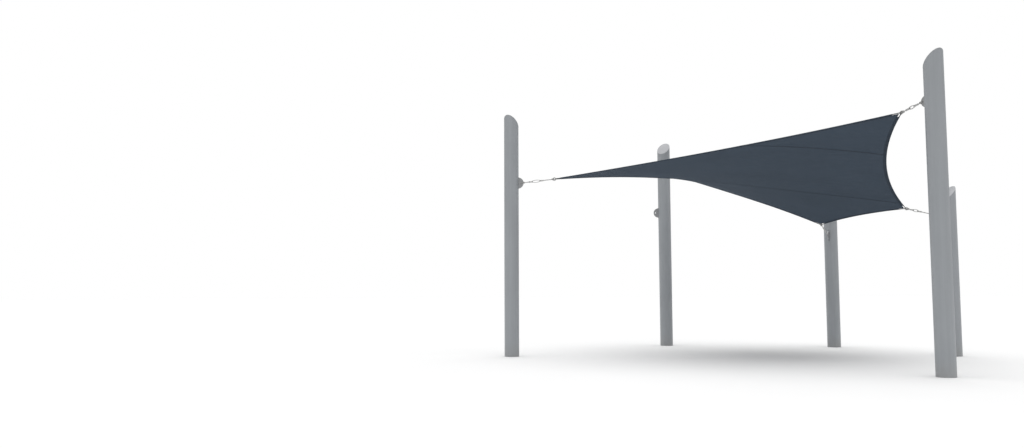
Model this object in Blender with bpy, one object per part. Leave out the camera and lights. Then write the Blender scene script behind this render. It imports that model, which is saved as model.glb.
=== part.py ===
"""Five-cornered shade sail, held taut between five steel posts.

Units are metres, +Z is up and +Y runs away from the front post. The origin is on the ground, in the middle of
the posts' outer faces. The cloth is a tensioned net: its edges hang in cables between the five corners, and
its shape is where the pulls in the net balance. Three panels are sewn side by side, with a hem round the
cable. At each corner the cable loops through a ring, which a turnbuckle pulls towards a lug on the post.
"""

import math
from collections import namedtuple

import bmesh
import bpy
import numpy as np
from mathutils import Matrix, Vector

for old in list(bpy.data.objects):
    bpy.data.objects.remove(old)

GAP = 0.0003                # between pieces that touch

# Posts, in order round the sail. Each row gives the axis in plan, the height of the slanted top at the axis,
# the bearing of the slant's low side, the height of the lug's pin and the lug's radius, and the sail's corner:
# how far it is from the axis, on which bearing and how high. The pull is that of the edge cable to the next
# post's corner, as a multiple of the cloth's own pull across a metre. Bearings are in degrees from +X to +Y.
Post = namedtuple(
    "Post", "name x y top_height cut_bearing lug_height lug_radius reach bearing corner_height pull"
)
POSTS = (
    Post("left", -3.267, 0.376, 3.537, 55.0, 2.605, 0.084, 0.615, 339.1, 2.633, 24.7),
    Post("front", 1.637, -2.729, 3.653, 110.0, 3.180, 0.070, 0.436, 115.4, 3.117, 5.12),
    Post("right", 3.267, 0.207, 2.420, 200.0, 2.085, 0.084, 0.607, 177.1, 2.189, 4.54),
    Post("rear_right", 2.258, 2.212, 2.400, 235.0, 1.910, 0.084, 0.563, 234.4, 2.060, 4.66),
    Post("rear", -0.520, 2.729, 3.527, 240.0, 3.075, 0.084, 0.485, 294.0, 2.953, 2.70),
)
SIDES = len(POSTS)

POST_RADIUS = 0.10955       # 219.1 mm pipe
POST_WALL = 0.0063
POST_FACETS = 40
CUT_SLOPE = 1.0             # the tops are cut at 45 degrees
CAP_DEPTH = 0.008           # measured upright

LUG_THICKNESS = 0.012
LUG_HOLE_REACH = 0.052      # from the post's face
LUG_HOLE_RADIUS = 0.009
LUG_ARC_STEPS = 18
SPARE_LUG_POST = "rear"
SPARE_LUG_HEIGHT = 2.360
SPARE_LUG_BEARING = 180.0

PIN_RADIUS = 0.006
PIN_HEAD_RADIUS = 0.0095
PIN_HEAD_DEPTH = 0.004
ROUND_STEPS = 16            # facets of pins, screws and holes

CHEEK = 0.006               # thickness of a fork's cheeks
CHEEK_HALF_HEIGHT = 0.012
FORK_BASE = 0.010
FORK_SLACK = 0.001          # between the cheeks and what they hold
FORK_CLEARANCE = 0.006      # between a fork's base and the lug's rim
RING_FORK_DEPTH = 0.020
SCREW_RADIUS = 0.007
SCREW_GRIP = 0.062          # how far a screw reaches into the turnbuckle's body

# Turnbuckles: the length of each body, and the share of the bare screw that is on the sail's side.
Turnbuckle = namedtuple("Turnbuckle", "length sail_share")
TURNBUCKLES = {
    "left": Turnbuckle(0.230, 0.66),
    "front": Turnbuckle(0.175, 0.50),
    "right": Turnbuckle(0.175, 0.06),
    "rear_right": Turnbuckle(0.175, 0.50),
    "rear": Turnbuckle(0.175, 0.50),
}
BODY_HALF_HEIGHT = 0.021    # at the middle; the bars draw in to the nuts
BODY_THICKNESS = 0.013
BODY_NUT_RADIUS = 0.0115
BODY_NUT_LENGTH = 0.052
SLOT_HALF_HEIGHT = 0.0125
BODY_STEPS = 10             # along each bowed side

RING_RADIUS = 0.022         # to the middle of its wire
RING_WIRE = 0.005
RING_STEPS = 20
CABLE_RADIUS = 0.006
CABLE_BEND = 0.020
CABLE_ARC_STEPS = 10
TUBE_FACETS = 8

# Lines that run along the sail's edge: how far in from the edge, and half the cloth's thickness there. The
# first three make the round pocket that holds the cable, the next is where the cloth is cut at a corner, and
# the last two are where the hem ends.
HemLine = namedtuple("HemLine", "inset half_thickness")
HEM = (
    HemLine(0.000, 0.004),
    HemLine(0.008, 0.007),
    HemLine(0.016, 0.002),
    HemLine(0.030, 0.002),
    HemLine(0.045, 0.002),
    HemLine(0.047, 0.001),
)
CABLE_LINE = 1              # index of the line that the cable lies under
NOTCH = 3                   # index of the line to which the cloth is cut back, near a corner
INNER = len(HEM) - 1        # index of the hem's inner line
MOUTH = INNER + 1           # index of the line, across the cloth, on which the pocket stops at a corner
CORNER_CUT = 0.120          # the pocket stops at least this far from the corner

NET = 12                    # net cells along half an edge
NET_ROUNDS = 12             # times that the net's shape is worked out anew
STATIONS = 8                # lines of the mesh that cross the cloth after the mouth, in each quarter
FIRST_STATION = 0.24        # where the first one meets the edge, as a share of half the edge
LAST = MOUTH + STATIONS

# The seams between panels, straight in plan: y = offset + slope * x.
Seam = namedtuple("Seam", "offset slope")
SEAMS = (Seam(-1.213, -0.021), Seam(0.918, -0.325))
PANELS = ("front", "middle", "rear")

Finish = namedtuple("Finish", "colour metallic roughness")
FINISHES = {
    "post_paint": Finish((0.30, 0.31, 0.32), 0.0, 0.45),
    "cap_paint": Finish((0.46, 0.47, 0.48), 0.0, 0.45),
    "sail_fabric": Finish((0.050, 0.064, 0.085), 0.0, 0.85),
    "galvanised": Finish((0.55, 0.56, 0.57), 1.0, 0.40),
    "stainless": Finish((0.62, 0.62, 0.61), 1.0, 0.28),
    "edge_cable": Finish((0.20, 0.21, 0.22), 1.0, 0.45),
}


# ---- helpers -------------------------------------------------------------------------------------------------

def material(slot):
    """The slot's material, made on first use."""
    found = bpy.data.materials.get(slot)
    if found:
        return found
    made = bpy.data.materials.new(slot)
    made.use_nodes = True
    shader = made.node_tree.nodes["Principled BSDF"]
    finish = FINISHES[slot]
    shader.inputs["Base Color"].default_value = (*finish.colour, 1.0)
    shader.inputs["Metallic"].default_value = finish.metallic
    shader.inputs["Roughness"].default_value = finish.roughness
    return made


def add_object(name, mesh, slot, matrix=None):
    """A named piece with its material; a matrix places it in the world."""
    piece = bpy.data.objects.new(name, mesh)
    bpy.context.collection.objects.link(piece)
    if not mesh.materials:
        mesh.materials.append(material(slot))
    if matrix is not None:
        piece.matrix_world = matrix
    return piece


def mesh_from(name, points, faces, sharp_angle=30.0):
    """A closed mesh with outward normals, shaded smooth but for its sharp edges."""
    mesh = bpy.data.meshes.new(name)
    mesh.from_pydata([tuple(p) for p in points], [], faces)
    form = bmesh.new()
    form.from_mesh(mesh)
    bmesh.ops.recalc_face_normals(form, faces=form.faces)
    form.to_mesh(mesh)
    form.free()
    mesh.shade_smooth()
    mesh.set_sharp_from_angle(angle=math.radians(sharp_angle))
    return mesh


def axes_matrix(origin, x_axis, y_axis, z_axis):
    """World matrix of a piece whose own axes point along the given ones."""
    turn = Matrix((x_axis, y_axis, z_axis)).transposed().to_4x4()
    return Matrix.Translation(origin) @ turn


def arc(centre_x, centre_y, radius, start, end, steps):
    """Points along an arc in the plane, angles in degrees."""
    angles = np.radians(np.linspace(start, end, steps + 1))
    return [(centre_x + radius * math.cos(a), centre_y + radius * math.sin(a)) for a in angles]


def plate(name, outline, holes, thickness):
    """A flat plate in the local XZ plane, centred on Y = 0, with its holes cut through."""
    form = bmesh.new()
    edges = []
    for loop in (outline, *holes):
        ring = [form.verts.new((x, -thickness / 2, z)) for x, z in loop]
        edges += [form.edges.new((a, b)) for a, b in zip(ring, ring[1:] + ring[:1])]
    faces = bmesh.ops.triangle_fill(form, edges=edges, use_beauty=True)["geom"]
    faces = [g for g in faces if isinstance(g, bmesh.types.BMFace)]
    grown = bmesh.ops.extrude_face_region(form, geom=faces, use_keep_orig=True)["geom"]
    moved = [g for g in grown if isinstance(g, bmesh.types.BMVert)]
    bmesh.ops.translate(form, verts=moved, vec=(0, thickness, 0))
    bmesh.ops.recalc_face_normals(form, faces=form.faces)
    mesh = bpy.data.meshes.new(name)
    form.to_mesh(mesh)
    form.free()
    mesh.shade_smooth()
    mesh.set_sharp_from_angle(angle=math.radians(30.0))
    return mesh


def lathe(name, profile, facets, axis="Y"):
    """A solid turned from (radius, height) points that start and end on its axis."""
    points = [(0.0, profile[0][1], 0.0)]
    rims = profile[1:-1]
    for radius, height in rims:
        for n in range(facets):
            a = 2 * math.pi * n / facets
            points.append((radius * math.cos(a), height, radius * math.sin(a)))
    points.append((0.0, profile[-1][1], 0.0))
    if axis == "X":
        points = [(y, x, z) for x, y, z in points]
    faces = []
    for n in range(facets):
        after = (n + 1) % facets
        faces.append((0, 1 + n, 1 + after))
        for r in range(len(rims) - 1):
            low, high = 1 + r * facets, 1 + (r + 1) * facets
            faces.append((low + n, low + after, high + after, high + n))
        top = 1 + (len(rims) - 1) * facets
        faces.append((len(points) - 1, top + after, top + n))
    return mesh_from(name, points, faces)


def tube(name, path, radius, facets, closed=False):
    """A round bar swept along a path; an open one has flat ends."""
    path = [Vector(p) for p in path]
    count = len(path)
    points = []
    side = None
    for n, here in enumerate(path):
        before = path[n - 1] if n or closed else here
        after = path[(n + 1) % count] if n < count - 1 or closed else here
        along = (after - before).normalized()
        if side is None:
            side = along.orthogonal().normalized()
        side = (side - along * side.dot(along)).normalized()
        up = along.cross(side)
        for f in range(facets):
            a = 2 * math.pi * f / facets
            points.append(here + radius * (math.cos(a) * side + math.sin(a) * up))
    faces = []
    for n in range(count if closed else count - 1):
        low, high = n * facets, (n + 1) % count * facets
        for f in range(facets):
            g = (f + 1) % facets
            faces.append((low + f, low + g, high + g, high + f))
    if not closed:
        faces.append(tuple(range(facets)))
        faces.append(tuple(range((count - 1) * facets, count * facets)))
    return mesh_from(name, points, faces, sharp_angle=50.0)


def combine(name, base, steps):
    """The base mesh after a list of (operation, mesh) Booleans."""
    body = bpy.data.objects.new(name, base)
    bpy.context.collection.objects.link(body)
    tools = []
    for operation, mesh in steps:
        tool = bpy.data.objects.new(name + "_tool", mesh)
        bpy.context.collection.objects.link(tool)
        cut = body.modifiers.new(operation, "BOOLEAN")
        cut.operation = operation
        cut.solver = "EXACT"
        cut.object = tool
        tools.append(tool)
    graph = bpy.context.evaluated_depsgraph_get()
    result = bpy.data.meshes.new_from_object(body.evaluated_get(graph))
    for spent in (body, *tools):
        bpy.data.objects.remove(spent)
    result.name = name
    result.materials.clear()
    result.shade_smooth()
    result.set_sharp_from_angle(angle=math.radians(30.0))
    return result


# ---- the sail's shape ----------------------------------------------------------------------------------------

def shared_name(k, i, j, last):
    """Name of point i, j in the quarter at corner k. i counts along the edge to the next corner and j along the
    edge to the one before; quarters share the points on their middle lines."""
    if i == last and j == last:
        return "middle"
    if i == last:
        return (k, j)
    if j == last:
        return ((k - 1) % SIDES, i)
    return (k, i, j)


def post_corner(post):
    """Where the sail's two edges would meet at this post."""
    a = math.radians(post.bearing)
    return np.array((post.x + post.reach * math.cos(a), post.y + post.reach * math.sin(a), post.corner_height))


def net_layout():
    """Numbers of the net's points, corners first: one grid for each quarter, all triangles, and each edge."""
    steps = range(NET + 1)
    names = [[[shared_name(k, i, j, NET) for j in steps] for i in steps] for k in range(SIDES)]
    corners = [grid[0][0] for grid in names]
    others = sorted({name for grid in names for row in grid for name in row} - set(corners), key=str)
    number = {name: n for n, name in enumerate(corners + others)}
    grids = np.array([[[number[name] for name in row] for row in grid] for grid in names])
    a, b, c, d = grids[:, :-1, :-1], grids[:, 1:, :-1], grids[:, 1:, 1:], grids[:, :-1, 1:]
    both_ways = ((a, b, c), (a, c, d), (a, b, d), (b, c, d))
    triangles = np.concatenate([np.stack(t, axis=-1).reshape(-1, 3) for t in both_ways])
    edges = [np.concatenate((grids[k][:, 0], grids[(k + 1) % SIDES][0, -2::-1])) for k in range(SIDES)]
    return grids, triangles, edges


def balance(pulls, corners):
    """Where the points of a net rest, given the pull between each two for their distance."""
    system = np.diag(pulls.sum(axis=1)) - pulls
    loose = np.linalg.solve(system[SIDES:, SIDES:], -system[SIDES:, :SIDES] @ corners)
    return np.vstack((corners, loose))


def film_pulls(places, triangles, edges):
    """Pulls in a cloth that is as tight in every direction, with edge cables of even pull."""
    pulls = np.zeros((len(places), len(places)))
    for turn in range(3):
        a, b, c = np.roll(triangles, turn, axis=1).T
        to_b, to_c = places[b] - places[a], places[c] - places[a]
        cotangent = (to_b * to_c).sum(axis=1) / np.linalg.norm(np.cross(to_b, to_c), axis=1)
        np.add.at(pulls, (b, c), cotangent / 4)
        np.add.at(pulls, (c, b), cotangent / 4)
    for post, edge in zip(POSTS, edges):
        spacing = np.linalg.norm(np.diff(places[edge], axis=0), axis=1).mean()
        pulls[edge[1:], edge[:-1]] += post.pull / spacing
        pulls[edge[:-1], edge[1:]] += post.pull / spacing
    return np.maximum(pulls, 0.0)


def stretch_net():
    """The balanced cloth, as one grid of points for each quarter."""
    grids, triangles, edges = net_layout()
    corners = np.array([post_corner(post) for post in POSTS])
    count = grids.max() + 1
    pulls = np.zeros((count, count))
    for ends in (grids[:, 1:], grids[:, :-1]), (grids[:, :, 1:], grids[:, :, :-1]):
        pulls[ends[0], ends[1]] = pulls[ends[1], ends[0]] = 1.0
    for edge in edges:
        pulls[edge[1:], edge[:-1]] = pulls[edge[:-1], edge[1:]] = 4.0 * NET
    places = balance(pulls, corners)
    for _ in range(NET_ROUNDS):
        places = balance(film_pulls(places, triangles, edges), corners)
    return [places[grid] for grid in grids]


def on_net(grid, u, v):
    """The point of a quarter at shares u and v of its two half edges."""
    i, j = min(int(u * NET), NET - 1), min(int(v * NET), NET - 1)
    a, b = u * NET - i, v * NET - j
    near = (1 - b) * grid[i, j] + b * grid[i, j + 1]
    far = (1 - b) * grid[i + 1, j] + b * grid[i + 1, j + 1]
    return (1 - a) * near + a * far


def inset_point(grid, u, inset):
    """The point of the cloth that lies straight in from the edge v = 0, by a distance."""
    start = on_net(grid, u, 0.0)
    along = on_net(grid, min(u + 0.5 / NET, 1.0), 0.0) - on_net(grid, max(u - 0.5 / NET, 0.0), 0.0)
    along = along / np.linalg.norm(along)
    across = on_net(grid, u, 1.0 / NET) - start
    across = across - along * (across @ along)
    return start + across / np.linalg.norm(across) * inset


Corner = namedtuple("Corner", "point first second bisector half_angle")


def corner_facts(grid):
    """Directions of the two edges at a corner."""
    first = grid[1, 0] - grid[0, 0]
    second = grid[0, 1] - grid[0, 0]
    first = first / np.linalg.norm(first)
    second = second / np.linalg.norm(second)
    bisector = (first + second) / np.linalg.norm(first + second)
    half_angle = math.acos(float(first @ bisector))
    return Corner(grid[0, 0], first, second, bisector, half_angle)


def mouth_share(grid, corner):
    """Share of the half edge at which the cable's pocket stops."""
    distances = np.linalg.norm(grid[:, 0] - grid[0, 0], axis=1)
    cut = max(CORNER_CUT, HEM[INNER].inset / math.tan(corner.half_angle) + 0.010)
    return float(np.interp(cut, distances, np.linspace(0.0, 1.0, NET + 1)))


def station(index, mouth):
    """Share of the half edge at which a line across the cloth starts; the first one is the mouth's."""
    if index == MOUTH:
        return mouth
    return FIRST_STATION + (1 - FIRST_STATION) * (index - MOUTH - 1) / (STATIONS - 1)


def sail_point(grid, corner, i, j):
    """Point i, j of a quarter's mesh, whose first lines are those of the hem."""
    if i > INNER and j > INNER:
        first = station(i, mouth_share(grid, corner))
        second = station(j, mouth_share(grid.transpose(1, 0, 2), corner))
        return on_net(grid, first, second)
    if i > INNER:
        return inset_point(grid, station(i, mouth_share(grid, corner)), HEM[j].inset)
    if j > INNER:
        return sail_point(grid.transpose(1, 0, 2), corner_facts(grid.transpose(1, 0, 2)), j, i)
    lean = math.sin(2 * corner.half_angle)
    return corner.point + (corner.first * HEM[i].inset + corner.second * HEM[j].inset) / lean


def sail_surface(grids):
    """The cloth's middle surface: points, half thicknesses and four-sided faces."""
    index, points, halves, faces = {}, [], [], []
    for k, grid in enumerate(grids):
        corner = corner_facts(grid)

        def point(i, j):
            name = shared_name(k, i, j, LAST)
            if name not in index:
                index[name] = len(points)
                points.append(sail_point(grid, corner, i, j))
                halves.append(HEM[min(i, j, INNER)].half_thickness)
            return index[name]

        for i in range(LAST):
            for j in range(LAST):
                if max(i, j) >= MOUTH or min(i, j) >= NOTCH:
                    faces.append((point(i, j), point(i + 1, j), point(i + 1, j + 1), point(i, j + 1)))
    return points, halves, faces


def thicken(points, halves, faces):
    """A closed cloth mesh round a middle surface."""
    form = bmesh.new()
    verts = [form.verts.new(p) for p in points]
    for face in faces:
        form.faces.new([verts[n] for n in face])
    form.normal_update()
    normals = [v.normal.copy() for v in verts]
    form.free()
    count = len(points)
    upper = [Vector(p) + n * h for p, n, h in zip(points, normals, halves)]
    lower = [Vector(p) - n * h for p, n, h in zip(points, normals, halves)]
    edges = {(a, b) for face in faces for a, b in zip(face, face[1:] + face[:1])}
    rim = [(a, b) for a, b in edges if (b, a) not in edges]
    solid = list(faces)
    solid += [tuple(count + n for n in reversed(face)) for face in faces]
    solid += [(b, a, a + count, b + count) for a, b in sorted(rim)]
    form = bmesh.new()
    verts = [form.verts.new(p) for p in upper + lower]
    for face in solid:
        form.faces.new([verts[n] for n in face])
    bmesh.ops.triangulate(form, faces=form.faces, quad_method="SHORT_EDGE")
    return form


def cut_away(form, point, outward):
    """Removes the cloth on the outward side of a plane and closes the cut."""
    bmesh.ops.bisect_plane(
        form,
        geom=form.verts[:] + form.edges[:] + form.faces[:],
        dist=1e-6,
        plane_co=point,
        plane_no=outward,
        clear_outer=True,
    )
    rim = [edge for edge in form.edges if edge.is_boundary]
    bmesh.ops.holes_fill(form, edges=rim, sides=0)
    bmesh.ops.triangulate(form, faces=form.faces)


def cut_at_seam(form, seam, keep_front):
    """Keeps the cloth on one side of a seam."""
    away = Vector((-seam.slope, 1.0, 0.0)).normalized() * (1.0 if keep_front else -1.0)
    cut_away(form, Vector((0.0, seam.offset, 0.0)) - away * GAP / 2, away)


def add_sail(grids):
    """The three panels, each with its part of the hem."""
    surface = sail_surface(grids)
    for n, name in enumerate(PANELS):
        form = thicken(*surface)
        if n < len(SEAMS):
            cut_at_seam(form, SEAMS[n], keep_front=True)
        if n:
            cut_at_seam(form, SEAMS[n - 1], keep_front=False)
        mesh = bpy.data.meshes.new("panel_" + name)
        form.to_mesh(mesh)
        form.free()
        mesh.shade_smooth()
        mesh.set_sharp_from_angle(angle=math.radians(40.0))
        add_object("panel_" + name, mesh, "sail_fabric")


# ---- posts ---------------------------------------------------------------------------------------------------

def slanted_ring(post, radius, drop):
    """Points round a post at its slanted top, lowered by a drop."""
    low = math.radians(post.cut_bearing)
    points = []
    for n in range(POST_FACETS):
        a = 2 * math.pi * n / POST_FACETS
        height = post.top_height - drop - CUT_SLOPE * radius * math.cos(a - low)
        points.append((radius * math.cos(a), radius * math.sin(a), height))
    return points


def add_post(post):
    """A pipe with a slanted top, and the plate that caps it."""
    drop = CAP_DEPTH + GAP
    outer = slanted_ring(post, POST_RADIUS, drop)
    inner = slanted_ring(post, POST_RADIUS - POST_WALL, drop)
    rings = [[(x, y, 0.0) for x, y, _ in outer], outer, inner, [(x, y, 0.0) for x, y, _ in inner]]
    points = [p for ring in rings for p in ring]
    faces = []
    for r in range(len(rings)):
        here, there = r * POST_FACETS, (r + 1) % len(rings) * POST_FACETS
        for n in range(POST_FACETS):
            m = (n + 1) % POST_FACETS
            faces.append((here + n, here + m, there + m, there + n))
    place = Matrix.Translation((post.x, post.y, 0.0))
    add_object("post_" + post.name, mesh_from("post_" + post.name, points, faces), "post_paint", place)

    points = slanted_ring(post, POST_RADIUS, CAP_DEPTH) + slanted_ring(post, POST_RADIUS, 0.0)
    faces = [tuple(range(POST_FACETS)), tuple(range(POST_FACETS, 2 * POST_FACETS))]
    for n in range(POST_FACETS):
        m = (n + 1) % POST_FACETS
        faces.append((n, m, POST_FACETS + m, POST_FACETS + n))
    add_object("cap_" + post.name, mesh_from("cap_" + post.name, points, faces), "cap_paint", place)


def lug_mesh(radius):
    """A half-round plate, its hole at the origin and +X pointing away from the post."""
    back = GAP - LUG_HOLE_REACH
    outline = arc(back, 0.0, radius, -90, 90, LUG_ARC_STEPS)
    hole = arc(0.0, 0.0, LUG_HOLE_RADIUS, 0, 360, ROUND_STEPS)[:-1]
    return plate("lug", outline, [hole], LUG_THICKNESS)


# ---- corner hardware -----------------------------------------------------------------------------------------

def bar_x(name, radius, start, end):
    """A round bar along the local X axis."""
    return lathe(name, [(0, start), (radius, start), (radius, end), (0, end)], ROUND_STEPS, axis="X")


def fork_mesh(name, grip_width, depth, screw_length):
    """A fork with its pin hole at the origin and its screw along +X."""
    width = grip_width + 2 * (CHEEK + FORK_SLACK / 2)
    back = depth + FORK_BASE
    outline = arc(0.0, 0.0, CHEEK_HALF_HEIGHT, 90, 270, 8)
    outline += [(back - 0.004, -CHEEK_HALF_HEIGHT), (back, -SCREW_RADIUS - 0.002)]
    outline += [(back, SCREW_RADIUS + 0.002), (back - 0.004, CHEEK_HALF_HEIGHT)]
    hole = arc(0.0, 0.0, PIN_RADIUS + GAP, 0, 360, ROUND_STEPS)[:-1]
    block = plate(name, outline, [hole], width)
    mouth = -2 * CHEEK_HALF_HEIGHT
    corners = [(mouth, -0.02), (depth, -0.02), (depth, 0.02), (mouth, 0.02)]
    slot = plate(name + "_slot", corners, [], grip_width + FORK_SLACK)
    screw = bar_x(name + "_screw", SCREW_RADIUS, back - FORK_BASE / 2, back + screw_length)
    return combine(name, block, [("DIFFERENCE", slot), ("UNION", screw)])


def pin_mesh(name, grip_width):
    """A clevis pin along the local Y axis, headed at both ends of a fork."""
    half = grip_width / 2 + FORK_SLACK / 2 + CHEEK + GAP
    tip = half + PIN_HEAD_DEPTH
    profile = [(0, -tip), (PIN_HEAD_RADIUS, -tip), (PIN_HEAD_RADIUS, -half), (PIN_RADIUS, -half)]
    profile += [(PIN_RADIUS, half), (PIN_HEAD_RADIUS, half), (PIN_HEAD_RADIUS, tip), (0, tip)]
    return lathe(name, profile, ROUND_STEPS)


def bowed(half_length, half_height, end_height):
    """A closed outline whose two long sides bow out from end height to half height."""
    upper = []
    for n in range(BODY_STEPS + 1):
        x = half_length * (1 - 2 * n / BODY_STEPS)
        rise = math.cos(math.pi * x / half_length / 2) ** 0.7 if abs(x) < half_length else 0.0
        upper.append((x, end_height + (half_height - end_height) * rise))
    return upper + [(-x, -z) for x, z in upper]


def turnbuckle_body_mesh(name, length):
    """An open turnbuckle body along the local X axis: two bowed bars between two long nuts."""
    end = length / 2
    shoulder = end - BODY_NUT_LENGTH
    frame = plate(
        name,
        bowed(shoulder + 0.012, BODY_HALF_HEIGHT, BODY_NUT_RADIUS - 0.002),
        [bowed(shoulder, SLOT_HALF_HEIGHT, SCREW_RADIUS - 0.002)],
        BODY_THICKNESS,
    )
    front_nut = bar_x(name + "_nut", BODY_NUT_RADIUS, shoulder, end)
    back_nut = bar_x(name + "_nut", BODY_NUT_RADIUS, -end, -shoulder)
    bore = bar_x(name + "_bore", SCREW_RADIUS + GAP, -end - 0.01, end + 0.01)
    return combine(name, frame, [("UNION", front_nut), ("UNION", back_nut), ("DIFFERENCE", bore)])


def add_cable_loop(post, mouths, meet, legs):
    """The edge cable where it shows: a leg out of each hem mouth, joined by a bend. Returns the bend's centre
    and the direction square to the cloth."""
    inward = (legs[0] + legs[1]).normalized()
    half = math.acos(legs[0].dot(inward))
    centre = meet + inward * CABLE_BEND / math.sin(half)
    sideways = (legs[0] - legs[1]).normalized()
    path = [mouths[0] - legs[0] * 3 * GAP]
    for n in range(CABLE_ARC_STEPS + 1):
        a = (math.pi / 2 - half) * (1 - 2 * n / CABLE_ARC_STEPS)
        path.append(centre + CABLE_BEND * (sideways * math.sin(a) - inward * math.cos(a)))
    path.append(mouths[1] - legs[1] * 3 * GAP)
    name = "cable_loop_" + post.name
    add_object(name, tube(name, path, CABLE_RADIUS, TUBE_FACETS), "edge_cable")
    return centre, legs[0].cross(legs[1]).normalized()


def pull_line(post, centre, normal):
    """The pin in the lug and the wire of the ring, in one upright plane with the post's axis, and the level
    direction from the post. The ring's wire lies inside the cable's bend, on the line of the pull."""
    axis = Vector((post.x, post.y, 0.0))
    reach = POST_RADIUS + LUG_HOLE_REACH + LUG_HOLE_RADIUS - PIN_RADIUS - GAP
    wire = centre
    for _ in range(6):
        outward = Vector((wire.x - axis.x, wire.y - axis.y, 0.0)).normalized()
        pin = axis + outward * reach + Vector((0.0, 0.0, post.lug_height))
        pull = centre - pin
        pull = (pull - normal * pull.dot(normal)).normalized()
        wire = centre - pull * (CABLE_BEND - CABLE_RADIUS - RING_WIRE - 2 * GAP)
    return pin, wire, outward


def add_corner(post, grid):
    """The cable loop, ring and turnbuckle between a corner of the sail and its post."""
    corner = corner_facts(grid)
    sides = (grid, grid.transpose(1, 0, 2))
    shares = [mouth_share(side, corner) for side in sides]
    mouths = [Vector(inset_point(side, u, HEM[CABLE_LINE].inset)) for side, u in zip(sides, shares)]
    meet = Vector(corner.point + corner.bisector * HEM[CABLE_LINE].inset / math.sin(corner.half_angle))
    legs = [(mouth - meet).normalized() for mouth in mouths]
    centre, normal = add_cable_loop(post, mouths, meet, legs)
    pin, wire, outward = pull_line(post, centre, normal)

    up = Vector((0.0, 0.0, 1.0))
    side = up.cross(outward)
    hole = pin - outward * (LUG_HOLE_RADIUS - PIN_RADIUS - GAP)
    lug = lug_mesh(post.lug_radius)
    add_object("lug_" + post.name, lug, "galvanised", axes_matrix(hole, outward, side, up))

    along = (wire - pin).normalized()
    ring_centre = wire - along * RING_RADIUS
    sail_pin = ring_centre - along * (RING_RADIUS - RING_WIRE - PIN_RADIUS - GAP)
    run = (sail_pin - pin).length
    lug_depth = post.lug_radius - LUG_HOLE_REACH + FORK_CLEARANCE
    forks = lug_depth + RING_FORK_DEPTH + 2 * FORK_BASE
    length, sail_share = TURNBUCKLES[post.name]
    bare = run - forks - length
    post_screw = SCREW_GRIP + bare * (1 - sail_share)
    sail_screw = SCREW_GRIP + bare * sail_share
    middle = sail_pin - along * (RING_FORK_DEPTH + FORK_BASE + bare * sail_share + length / 2)
    ring_up = (normal - along * normal.dot(along)).normalized()
    if ring_up.z < 0:
        ring_up = -ring_up
    post_axes = (along, side, along.cross(side))
    sail_axes = (-along, ring_up.cross(-along), ring_up)

    circle = [(x, 0.0, z) for x, z in arc(0.0, 0.0, RING_RADIUS, 0, 360, RING_STEPS)[:-1]]
    wire_width = 2 * RING_WIRE
    chain = (
        ("fork_post_", fork_mesh("fork", LUG_THICKNESS, lug_depth, post_screw), pin, post_axes),
        ("pin_post_", pin_mesh("pin", LUG_THICKNESS), pin, post_axes),
        ("turnbuckle_", turnbuckle_body_mesh("body", length), middle, post_axes),
        ("fork_sail_", fork_mesh("fork", wire_width, RING_FORK_DEPTH, sail_screw), sail_pin, sail_axes),
        ("pin_sail_", pin_mesh("pin", wire_width), sail_pin, sail_axes),
        ("ring_", tube("ring", circle, RING_WIRE, TUBE_FACETS, closed=True), ring_centre, sail_axes),
    )
    for name, mesh, place, axes in chain:
        add_object(name + post.name, mesh, "stainless", axes_matrix(place, *axes))


def add_spare_lug():
    """The lug on which a neighbouring sail can be hung."""
    post = next(p for p in POSTS if p.name == SPARE_LUG_POST)
    a = math.radians(SPARE_LUG_BEARING)
    outward = Vector((math.cos(a), math.sin(a), 0.0))
    up = Vector((0.0, 0.0, 1.0))
    hole = Vector((post.x, post.y, SPARE_LUG_HEIGHT)) + outward * (POST_RADIUS + LUG_HOLE_REACH)
    lug = lug_mesh(post.lug_radius)
    add_object("lug_spare", lug, "galvanised", axes_matrix(hole, outward, up.cross(outward), up))


# ---- the whole -----------------------------------------------------------------------------------------------

net_grids = stretch_net()
add_sail(net_grids)
add_spare_lug()
for corner_post, corner_grid in zip(POSTS, net_grids):
    add_post(corner_post)
    add_corner(corner_post, corner_grid)
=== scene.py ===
"""The looks of the shade sail: knitted cloth with its hems, lapped seams and stitching, painted posts with
their welds, and the turnbuckles and rope loops at the corners."""

import math
from collections import namedtuple
from copy import copy

import bmesh
import bpy
import numpy as np
from mathutils import Matrix, Vector
from mathutils.bvhtree import BVHTree


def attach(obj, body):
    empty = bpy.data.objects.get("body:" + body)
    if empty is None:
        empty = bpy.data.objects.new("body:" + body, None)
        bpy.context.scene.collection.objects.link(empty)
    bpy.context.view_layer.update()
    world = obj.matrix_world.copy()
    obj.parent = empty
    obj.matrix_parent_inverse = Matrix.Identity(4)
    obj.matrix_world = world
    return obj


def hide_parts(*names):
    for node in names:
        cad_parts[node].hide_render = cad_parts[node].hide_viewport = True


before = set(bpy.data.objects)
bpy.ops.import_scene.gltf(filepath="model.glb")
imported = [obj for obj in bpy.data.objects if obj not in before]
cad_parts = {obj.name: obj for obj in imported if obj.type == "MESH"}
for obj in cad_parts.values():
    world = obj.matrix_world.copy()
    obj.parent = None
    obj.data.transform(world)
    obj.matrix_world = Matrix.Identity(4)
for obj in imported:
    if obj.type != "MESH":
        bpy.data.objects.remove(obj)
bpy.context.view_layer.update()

UP = Vector((0.0, 0.0, 1.0))

# ---- sizes, as in the CAD ----

GAP = 0.0003                # between pieces that touch

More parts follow.
